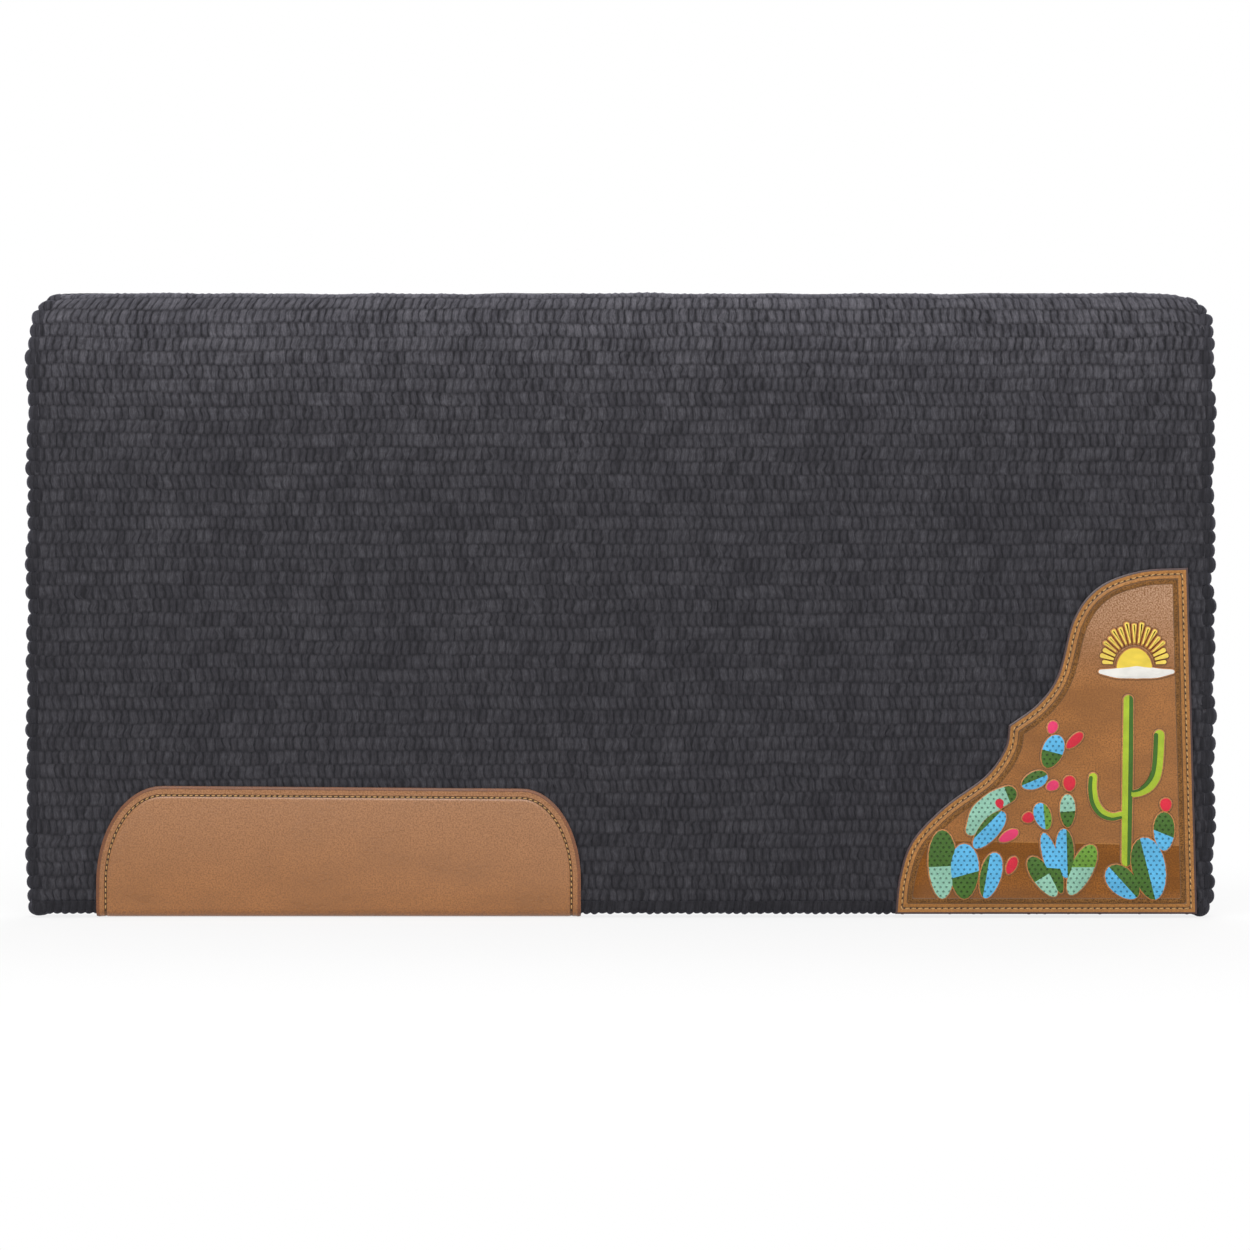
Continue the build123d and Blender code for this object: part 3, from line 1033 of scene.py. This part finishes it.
def stitch_row(name, line, pitch, lift, closed):
    """A row of stitches and their holes along a line of (x, y, z) points, before any folding."""
    line = np.array(line)
    if closed:
        line = np.vstack([line, line[:1]])
    gaps = np.linalg.norm(np.diff(line, axis=0), axis=1)
    along = np.concatenate([[0], np.cumsum(gaps)])
    count = max(1, round(along[-1] / pitch))
    pitch = along[-1] / count
    radius = leather().thread_radius

    def at(s):
        return np.array([np.interp(s, along, line[:, k]) for k in range(3)])

    def placed(s, long, wide, high, rng):
        centre = at(s)
        nearby = 0.0008
        ahead = at(min(s + nearby, along[-1])) - at(max(s - nearby, 0))
        ahead /= np.linalg.norm(ahead)
        lean = rng.normal(0, 0.07) + 0.1
        turned = np.array([ahead[0] * math.cos(lean) - ahead[2] * math.sin(lean), 0,
                           ahead[0] * math.sin(lean) + ahead[2] * math.cos(lean)])
        sideways = np.array([-turned[2], 0, turned[0]])
        outwards = np.array([0, -1, 0])

        def place(base):
            arch = high * base[:, 2:3] + lift
            moved = centre + base[:, 0:1] * long * turned + base[:, 1:2] * wide * sideways + arch * outwards
            return moved, base[:, :2]

        return place

    rng = np.random.default_rng(3)
    bpy.ops.mesh.primitive_uv_sphere_add(segments=10, ring_count=6, radius=1)
    threads = [placed((k + 0.5) * pitch, pitch * THREAD_HALF * rng.uniform(0.94, 1.05), radius, radius, rng)
               for k in range(count)]
    thread = copies(name, bpy.context.object, threads, ["Waxed thread"])
    # Painted shade: a small dark lump at each hole stands for the shade inside it.
    bpy.ops.mesh.primitive_uv_sphere_add(segments=8, ring_count=4, radius=1)
    holes = [placed(k * pitch, *HOLE_SIZE, rng) for k in range(count + 1)]
    hole = copies(name + "_holes", bpy.context.object, holes, ["Stitch hole"])
    only(thread)
    hole.select_set(True)
    bpy.ops.object.join()
    return thread


class PAD_OT_wear_leathers(bpy.types.Operator):
    """The smooth wear leathers, each one piece folded round the hem and sewn through both leaves"""
    bl_idname = "saddle_pad.wear_leathers"
    bl_label = "Wear leathers"

    def execute(self, context):
        h = leather()
        thickness = HEM_Z - WEAR_LOW[2]
        rings = [
            ("Wear rim", 0.0005, 0.0),
            ("Wear rim", 0.0007, 0.0003),
            ("Wear rim", 0.0012, 0.0001),
            ("Wear leather", 0.0014, -0.0003),
            ("Wear leather", h.wear_inset - 0.0048, 0.0),
            ("Wear groove", 0.0004, -0.00035),
            ("Wear groove", 0.0006, 0.0),
            ("Wear groove", 0.0006, 0.0),
            ("Wear groove", 0.0004, 0.00035),
            ("Wear leather", 0.002, 0.00005),
        ]
        body = thickness - 0.0003
        piece, lines, _ = leather_blank("wear", wear_blank_outline(), body, rings, "Wear leather")
        for k in range(FOLD_CUTS + 1):
            cut_across(piece, (0, 0, FOLD_REACH * (2 * k / FOLD_CUTS - 1)), (0, 0, 1))
        reshape(piece, fold_round_hem)
        soft_edges(piece)
        both_sides(piece, "wear_leather_folded", "wear_leather", ["wear_leather"])
        middle_of_groove = lines[6]
        centre = (WEAR_LOW[0] + WEAR_HIGH[0]) / 2
        leaves = []
        for sign in (1, -1):
            leaf = [p for p in middle_of_groove if sign * p[2] > FOLD_REACH + SEAM_STOP]
            leaf.sort(key=lambda p: math.atan2(sign * p[2], p[0] - centre))
            head, tail = [(*end[:2], sign * (FOLD_REACH - SEAM_STOP)) for end in (leaf[0], leaf[-1])]
            leaves.append(stitch_row(f"wear_seam_{sign}", [head, *leaf, tail], h.wear_stitch, 0.0003, False))
        only(leaves[0])
        leaves[1].select_set(True)
        bpy.ops.object.join()
        reshape(leaves[0], fold_round_hem)
        outward(leaves[0])
        both_sides(leaves[0], "wear_seam", "thread", ["wear_stitching"])
        return {"FINISHED"}


def curve_through(points, steps):
    """A smooth curve through given points (Catmull-Rom), as a list of points without the last one."""
    points = [np.array(p, float) for p in points]
    padded = [2 * points[0] - points[1]] + points + [2 * points[-1] - points[-2]]
    curve = []
    for a, b, c, d in zip(padded, padded[1:], padded[2:], padded[3:]):
        for k in range(steps):
            t = k / steps
            curve.append(tuple(0.5 * (2 * b + (c - a) * t + (2 * a - 5 * b + 4 * c - d) * t * t
                                      + (3 * b - a - 3 * c + d) * t ** 3)))
    return curve


def corner_point(inward, up):
    """A point on the corner leather: millimetres in from its rear edge, and up from the hem."""
    return CORNER_HIGH[0] - inward / 1000, HEM_Z + up / 1000


DRAWN_WIDTH, DRAWN_HEIGHT, DRAWN_TIP = 215, 251.5, 6.5


def corner_blank_outline():
    """The corner leather: a tall shoulder, a small point, and a long sweep to the hem, as (x, z)."""
    point = (134, 137)
    shoulder = [(DRAWN_TIP, DRAWN_HEIGHT), (41, 249), (70, 237.5), (88, 214), (99, 174), (113, 153), point]
    sweep = [point, (137, 120), (151, 100), (180, 78), (203, 53), (212, 27), (DRAWN_WIDTH, 0)]
    along, rise = 140, 165       # the points of the straight edges
    bottom = [(DRAWN_WIDTH - DRAWN_WIDTH * k / along, 0) for k in range(along)]
    rear = [(DRAWN_TIP * k / rise, DRAWN_HEIGHT * k / rise) for k in range(rise)]
    walk = curve_through(shoulder, 18) + curve_through(sweep, 18) + bottom + rear
    share = (CORNER_HIGH[0] - CORNER_LOW[0]) / (DRAWN_WIDTH / 1000)
    return [corner_point(inward * share, up) for inward, up in walk]


HORIZON = HEM_Z + 0.0585
HORIZON_FOOT = HORIZON - 0.0008
HORIZON_SLOPE = 0.02


class PAD_OT_corner_leathers(bpy.types.Operator):
    """The tooled corner leathers, with their dyed edge, stitches, stippled border and horizon"""
    bl_idname = "saddle_pad.corner_leathers"
    bl_label = "Corner leathers"

    def execute(self, context):
        h = leather()
        thickness = -OUTER - CORNER_LOW[1]
        rings = [
            ("Dyed edge", 0.0006, 0.0003),
            ("Dyed edge", 0.0008, 0.0001),
            ("Corner margin", 0.0010, -0.0001),
            ("Corner margin", h.corner_inset - 0.0034, 0.0),
            ("Corner groove", 0.0003, -0.00025),
            ("Corner groove", 0.0007, 0.0),
            ("Corner groove", 0.0003, 0.00025),
            ("Corner margin", 0.0022, 0.0),
            ("Corner groove", 0.0004, -0.0004),
            ("Corner groove", 0.0004, 0.0003),
            ("Stippled border", 0.0030, 0.0),
            ("Corner groove", 0.0005, -0.0003),
        ]
        outline = corner_blank_outline()
        piece, lines, labels = worked_blank("corner", outline, thickness - 0.0005, rings, "Sky leather")
        labels.append("Ground leather")
        piece.data.materials.append(material("Ground leather"))
        ground, margin, sky = [labels.index(n) for n in ("Ground leather", "Corner margin", "Sky leather")]
        for z in (HORIZON, HORIZON_FOOT):
            cut_across(piece, (0, 0, z), (HORIZON_SLOPE, 0, 1))
        for face in piece.data.polygons:
            if face.material_index == sky:
                level = face.center[2] + HORIZON_SLOPE * face.center[0]
                if level < HORIZON_FOOT:
                    face.material_index = ground
                elif level < HORIZON:
                    face.material_index = margin
        reshape(piece, lambda p: p + np.array([0, -OUTER, 0]))
        soft_edges(piece)
        both_sides(piece, "corner_leather_tooled", "tooled_leather", ["corner_leather"])
        middle_of_groove = lines[4]
        seam = stitch_row("corner_seam", middle_of_groove, h.corner_stitch, 0.0002, True)
        reshape(seam, lambda p: p + np.array([0, -OUTER, 0]))
        outward(seam)
        both_sides(seam, "corner_seam", "thread", ["corner_stitching"])
        return {"FINISHED"}


# The painted desert on the corner leather


def oval(inward, up, long, wide, tilt=0, taper=0.0, count=20):
    """An oval outline, tilted in degrees clockwise from upright, narrower at its foot by taper."""
    lean = math.radians(tilt)
    points = []
    for k in range(count):
        a = 2 * math.pi * k / count
        along = long * math.cos(a)
        across = wide * math.sin(a) * (1 + taper * math.cos(a))
        right = across * math.cos(lean) + along * math.sin(lean)
        rise = along * math.cos(lean) - across * math.sin(lean)
        points.append((inward - right, up + rise))
    return points


def limb(route, widths, count=6):
    """A rounded limb along a route of (inward, up) points, with its half widths from foot to tip."""
    path = np.array(curve_through(route, count) + [route[-1]], float)
    wide = np.interp(np.linspace(0, 1, len(path)), np.linspace(0, 1, len(widths)), widths)
    ahead = np.gradient(path, axis=0)
    ahead /= np.linalg.norm(ahead, axis=1)[:, None]
    unit = np.stack([-ahead[:, 1], ahead[:, 0]], 1)
    round_off = np.linspace(0, math.pi, 8)[1:-1]
    cap = [path[-1] + wide[-1] * (ahead[-1] * math.sin(a) + unit[-1] * math.cos(a)) for a in round_off]
    foot = [path[0] - wide[0] * (ahead[0] * math.sin(a) + unit[0] * math.cos(a)) for a in round_off]
    beside = unit * wide[:, None]
    return list(path + beside) + cap + list(path - beside)[::-1] + foot


# Each shape is a name, an outline, a colour, its other colour and the ends of the line between the two,
# in millimetres on the leather. The first colour is above a line that runs to the right, and on the left
# of one that runs upwards.


def plain(name, outline, tone):
    """A shape of one colour."""
    return name, outline, tone, tone, None, None


def cactus_shapes():
    """The cactus pads, each with its half length, half width and lean."""
    def pad(name, place, long, wide, lean, tone, other, start, end):
        return name, oval(*place, long, wide, lean, 0.1), tone, other, start, end

    return [
        ("mint_pad", limb([(164, 61), (158, 73), (147, 82), (137, 87)], [5, 7.5, 8, 7]),
         "mint", "green", (135, 79), (140, 92)),
        pad("small_pad", (118, 97), 11, 7, 65, "green", "blue", (128, 93), (109, 101)),
        pad("top_pad", (105, 118), 13.5, 8.5, 22, "blue", "green", (114, 120), (99, 116)),
        pad("tall_pad", (185, 36), 26, 11, 0, "green", "mint", (197, 34), (176, 35)),
        pad("right_pad", (150, 28), 18, 8.5, 14, "green", "blue", (156, 10), (150, 44)),
        pad("front_pad", (169, 31), 21, 11.5, 0, "blue", "green", (178, 26), (160, 31)),
        pad("diagonal_pad", (151, 61), 18, 8, 40, "green", "blue", (165, 52), (143, 74)),
        pad("middle_upper_left_pad", (112, 71), 11, 7, -20, "blue", "lime", (110, 60), (112, 82)),
        pad("middle_upper_right_pad", (94, 75), 13, 6.5, 0, "mint", "green", (100, 74), (88, 75)),
        pad("middle_low_left_pad", (112, 27), 18, 8, -34, "green", "mint", (120, 22), (110, 28)),
        pad("middle_low_right_pad", (84, 32), 21, 9, 25, "lime", "mint", (89, 34), (73, 34)),
        pad("middle_left_pad", (105, 37), 24, 6.5, -17, "blue", "green", (112, 34), (100, 33)),
        pad("middle_right_pad", (96, 44), 19, 7.5, -3, "blue", "green", (94, 25), (95, 62)),
        pad("rear_upper_pad", (24, 60), 15, 8.5, 0, "green", "blue", (31, 61), (16, 55)),
        pad("rear_big_pad", (35, 33), 24, 13, -12, "green", "blue", (30, 9), (41, 53)),
        pad("rear_left_pad", (54, 23), 16, 10.5, -45, "blue", "green", (41, 9), (62, 32)),
    ]


def bud_shapes():
    """The buds: name, place, half length, half width, tilt and colour."""
    buds = [
        ("bud_1", (105, 135.5), 5.6, 4.5, 20, "pink"), ("bud_2", (89, 126), 8.8, 4.4, 47, "red"),
        ("bud_3", (105, 93.2), 5.6, 4.4, 65, "pink"), ("bud_4", (143.5, 80.4), 4.9, 4.7, 0, "red"),
        ("bud_5", (136.8, 56.8), 8.6, 4.5, 62, "pink"), ("bud_6", (134.7, 35.3), 7.6, 4.4, 25, "red"),
        ("bud_7", (122.8, 70), 5.2, 4.7, 70, "red"), ("bud_8", (92.7, 94.9), 6.4, 5.3, 0, "red"),
        ("bud_9", (22.7, 79.3), 5.7, 5, 0, "red"),
    ]
    return [plain(name, oval(*place, long, wide, tilt, 0.12), tone)
            for name, place, long, wide, tilt, tone in buds]


def tall_cactus_shapes():
    """The tall cactus: light, with a dark side to its trunk and a dark stripe along each arm."""
    rear_arm = [(48, 87), (41, 88.5), (34.5, 92.5), (30, 100), (28.2, 112), (27.4, 130)]
    front_arm = [(54.5, 72), (62, 70.6), (69.5, 74), (74.3, 81.5), (76, 91.5), (75.5, 99.5)]
    trunk = [(51.4, 38), (50.8, 75), (50.2, 115), (49.8, 155.6)]
    rear_stripe = [(46.5, 89), (41.5, 90.5), (36.5, 94.5), (32.3, 101.5), (30.6, 112), (29.8, 130)]
    front_stripe = [(55.5, 70.2), (62.5, 69), (70.6, 72.4), (76, 80.5), (77.6, 91), (77.1, 99)]
    return [
        plain("tall_cactus_rear_arm", limb(rear_arm, [3.2, 3.6, 4.2, 4.5, 4.6]), "lemon"),
        plain("tall_cactus_front_arm", limb(front_arm, [3.4, 3.7, 4.0, 4.0, 3.9]), "lemon"),
        ("tall_cactus_trunk", limb(trunk, [4.3, 4.6, 4.7, 4.4]), "lemon", "leaf", (50.8, 36), (49.2, 160)),
        plain("tall_cactus_rear_stripe", limb(rear_stripe, [1.0, 1.3, 1.7, 1.8, 1.8]), "leaf"),
        plain("tall_cactus_front_stripe", limb(front_stripe, [1.2, 1.5, 1.7, 1.7, 1.6]), "leaf"),
    ]


SUN_PLACE = (45.6, 180.3)
RAYS = 17
RAY_FOOT = 15
RAY_HALF = 0.083         # half the angle between a ray's sides


def sky_shapes():
    """The half sun over its cloud, with broad rays side by side."""
    x, up = SUN_PLACE
    shapes = []
    for k in range(RAYS):
        a = math.radians(2 + 176 * (k + 0.5) / RAYS)
        reach = 24 + 8 * math.sin(a) ** 1.5 + (0.8 if k % 2 else -0.8)
        spots = ((RAY_FOOT, a - 0.077), (reach - 1, a - RAY_HALF), (reach, a - 0.05), (reach + 0.3, a),
                 (reach, a + 0.05), (reach - 1, a + RAY_HALF), (RAY_FOOT, a + 0.077))
        ray = [(x + r * math.cos(b), up + r * math.sin(b)) for r, b in spots]
        shapes.append(plain(f"sun_ray_{k + 1}", ray, "ray"))
    arc = np.linspace(0, math.pi, 24)
    disc = [(x + 13.9 * math.cos(a), up - 3 + 13.9 * math.sin(a) * 1.2) for a in arc]
    shapes.append(plain("sun_disc", disc, "gold"))
    cloud = limb([(70, 176), (58, 175), (44, 176), (30, 175), (18, 176)], [2.5, 4.5, 6, 4.5, 2.5])
    shapes.append(plain("cloud", cloud, "cloud"))
    return shapes


SMALL_AREA = 0.00004     # a shape below this area, in square metres, gets the narrow edge
GROOVE = 0.0005
SUNK = 0.0003            # how deep a shape's foot lies below the leather's face


def painted_shape(name, outline, tone, other, start, end, height, field):
    """One raised shape of carved and painted leather, in a groove painted dark as shade, with a painted
    highlight on its bevelled edge.

    A stripe has no groove and no highlighted edge, and stands prouder than the arm that it lies on."""
    points = [corner_point(*p) for p in outline]
    area = sum(a[0] * b[1] - b[0] * a[1] for a, b in zip(points, points[1:] + points[:1])) / 2
    if area < 0:
        points = points[::-1]
    stripe = "stripe" in name
    narrow = abs(area) < SMALL_AREA or stripe
    colour_label = "Paint " + tone
    if stripe:
        rings = [(colour_label, 0.0003, height + 0.00035)]
    else:
        rim = 0.00018 if narrow else 0.00045
        # Painted shade: a flat band round the shape, in the dark groove colour.
        rings = [("Corner groove", GROOVE, 0.0), ("Carved edge", rim, height * 0.75),
                 ("Carved edge", rim, height * 0.25)]
        points = [tuple(p) for p in inset_line(points, -GROOVE)]
    if not narrow:
        rings.append((colour_label, 0.0011, 0.00025))
    piece, _, labels = leather_blank(name, points, SUNK + 0.0001, rings, colour_label)
    if other != tone:
        piece.data.materials.append(material("Paint " + other))
        a, b = np.array(corner_point(*start)), np.array(corner_point(*end))
        left = np.array([a[1] - b[1], b[0] - a[0]])
        cut_across(piece, (a[0], 0, a[1]), (left[0], 0, left[1]))
        for face in piece.data.polygons:
            away = (np.array([face.center[0], face.center[2]]) - a) @ left
            if face.material_index == labels.index(colour_label) and away < 0:
                face.material_index = len(labels)
    reshape(piece, lambda p: p + np.array([0, field + SUNK, 0]))
    soft_edges(piece)
    return piece


class PAD_OT_desert(bpy.types.Operator):
    """The carved and painted desert: cactus pads with buds, a tall cactus, and a half sun over a cloud"""
    bl_idname = "saddle_pad.desert"
    bl_label = "Painted desert"

    def execute(self, context):
        field = CORNER_LOW[1] + 0.0006
        for shapes in (sky_shapes(), tall_cactus_shapes(), cactus_shapes(), bud_shapes()):
            for number, shape in enumerate(shapes):
                height = 0.0007 + 0.00003 * number
                both_sides(painted_shape(*shape, height, field), shape[0], "tooled_leather")
        return {"FINISHED"}


# Studio


SENSOR_MM = 36
LAMP_AIM = (0, 0, -0.2)
FLOOR_SIZE = 12
LAMPS = (
    # name, place, size and power
    ("key", (-0.3, -1.5, 1.15), 1.5, 26.0),
    ("front_fill", (0.2, -2.6, 0.1), 2.4, 15.0),
    ("left_fill", (-2.2, -0.6, 0.4), 1.6, 9.0),
    ("right_fill", (2.2, -0.6, 0.4), 1.6, 9.0),
    ("back_key", (0.3, 1.7, 1.1), 1.6, 24.0),
    ("back_fill", (-0.2, 2.6, 0.1), 2.4, 12.0),
)


class PAD_OT_studio(bpy.types.Operator):
    """The pale floor, the soft lights and the camera"""
    bl_idname = "saddle_pad.studio"
    bl_label = "Studio"

    def execute(self, context):
        s = context.scene.pad_studio
        self.floor(CAD_BOX[0][2] - s.floor_gap)
        self.world()
        for lamp in LAMPS:
            self.lamp(*lamp)
        camera = bpy.data.objects.new("camera", bpy.data.cameras.new("camera"))
        context.collection.objects.link(camera)
        camera.location = (s.aim_x, -s.distance, s.aim_z)
        camera.rotation_euler = (QUARTER_TURN, 0, 0)
        camera.data.sensor_width = SENSOR_MM
        camera.data.lens = SENSOR_MM * (s.distance - OUTER) / s.view_width
        context.scene.camera = camera
        context.scene.view_settings.view_transform = "Standard"
        return {"FINISHED"}

    def seen(self, t):
        """1 for rays that show the background: seen straight, in a gloss or through glass."""
        path = t.add("LightPath").outputs
        gloss = t.maths("MAXIMUM", path["Is Camera Ray"], path["Is Glossy Ray"])
        return t.maths("MAXIMUM", gloss, path["Is Transmission Ray"])

    def floor(self, z):
        bpy.ops.object.select_all(action="DESELECT")
        bpy.ops.mesh.primitive_plane_add(size=FLOOR_SIZE, location=(0, 0, z))
        floor = bpy.context.object
        floor.name = "floor"
        made, t, shader = new_material("Pale floor")
        t.feed(shader, {"Base Color": (0.86, 0.86, 0.86, 1), "Roughness": 0.9})
        white = t.add("Emission", {"Color": (1, 1, 1, 1), "Strength": 1.0}).outputs[0]
        away = t.add("VectorMath", {0: t.place()}, operation="LENGTH").outputs["Value"]
        pale = t.plus(t.times(t.between(away, 0.5, 1.5), 0.2), 0.8)
        share = t.times(self.seen(t), pale)
        mixed = t.add("MixShader", {0: share, 1: shader.outputs[0], 2: white}).outputs[0]
        t.feed(made.node_tree.nodes["Material Output"], {"Surface": mixed})
        floor.data.materials.append(made)

    def world(self):
        world = bpy.data.worlds.new("Studio")
        bpy.context.scene.world = world
        world.use_nodes = True
        t = Tree(world.node_tree)
        soft = t.plus(t.times(self.seen(t), 0.6), 0.4)
        t.feed(world.node_tree.nodes["Background"], {"Color": (1, 1, 1, 1), "Strength": soft})

    def lamp(self, name, place, size, power):
        lamp = bpy.data.lights.new(name, "AREA")
        lamp.size = size
        lamp.energy = power
        holder = bpy.data.objects.new(name, lamp)
        bpy.context.collection.objects.link(holder)
        holder.location = place
        aim = Vector(LAMP_AIM) - Vector(place)
        holder.rotation_euler = aim.to_track_quat("-Z", "Y").to_euler()


class PAD_PT_panel(bpy.types.Panel):
    """Lists the pad's pieces in the order in which they are made"""
    bl_label = "Saddle Pad"
    bl_idname = "PAD_PT_panel"
    bl_space_type = "VIEW_3D"
    bl_region_type = "UI"
    bl_category = "Saddle Pad"

    def draw(self, context):
        for holder in ("pad_wool", "pad_leather", "pad_paint", "pad_studio"):
            settings = getattr(context.scene, holder)
            for key in settings.__annotations__:
                self.layout.prop(settings, key)
        for made in OPERATORS:
            self.layout.operator(made.bl_idname)


GROUPS = {"pad_wool": WoolSettings, "pad_leather": LeatherSettings, "pad_paint": PaintSettings,
          "pad_studio": StudioSettings}
OPERATORS = (PAD_OT_weave, PAD_OT_selvages, PAD_OT_hem, PAD_OT_wear_leathers, PAD_OT_corner_leathers,
             PAD_OT_desert, PAD_OT_studio)


def register():
    for kind in (*GROUPS.values(), *OPERATORS, PAD_PT_panel):
        bpy.utils.register_class(kind)
    for key, kind in GROUPS.items():
        setattr(bpy.types.Scene, key, PointerProperty(type=kind))


def unregister():
    for key in GROUPS:
        delattr(bpy.types.Scene, key)
    for kind in reversed((*GROUPS.values(), *OPERATORS, PAD_PT_panel)):
        bpy.utils.unregister_class(kind)


def main():
    register()
    for step in ("weave", "selvages", "hem", "wear_leathers", "corner_leathers", "desert", "studio"):
        getattr(bpy.ops.saddle_pad, step)()


if __name__ == "__main__":
    main()
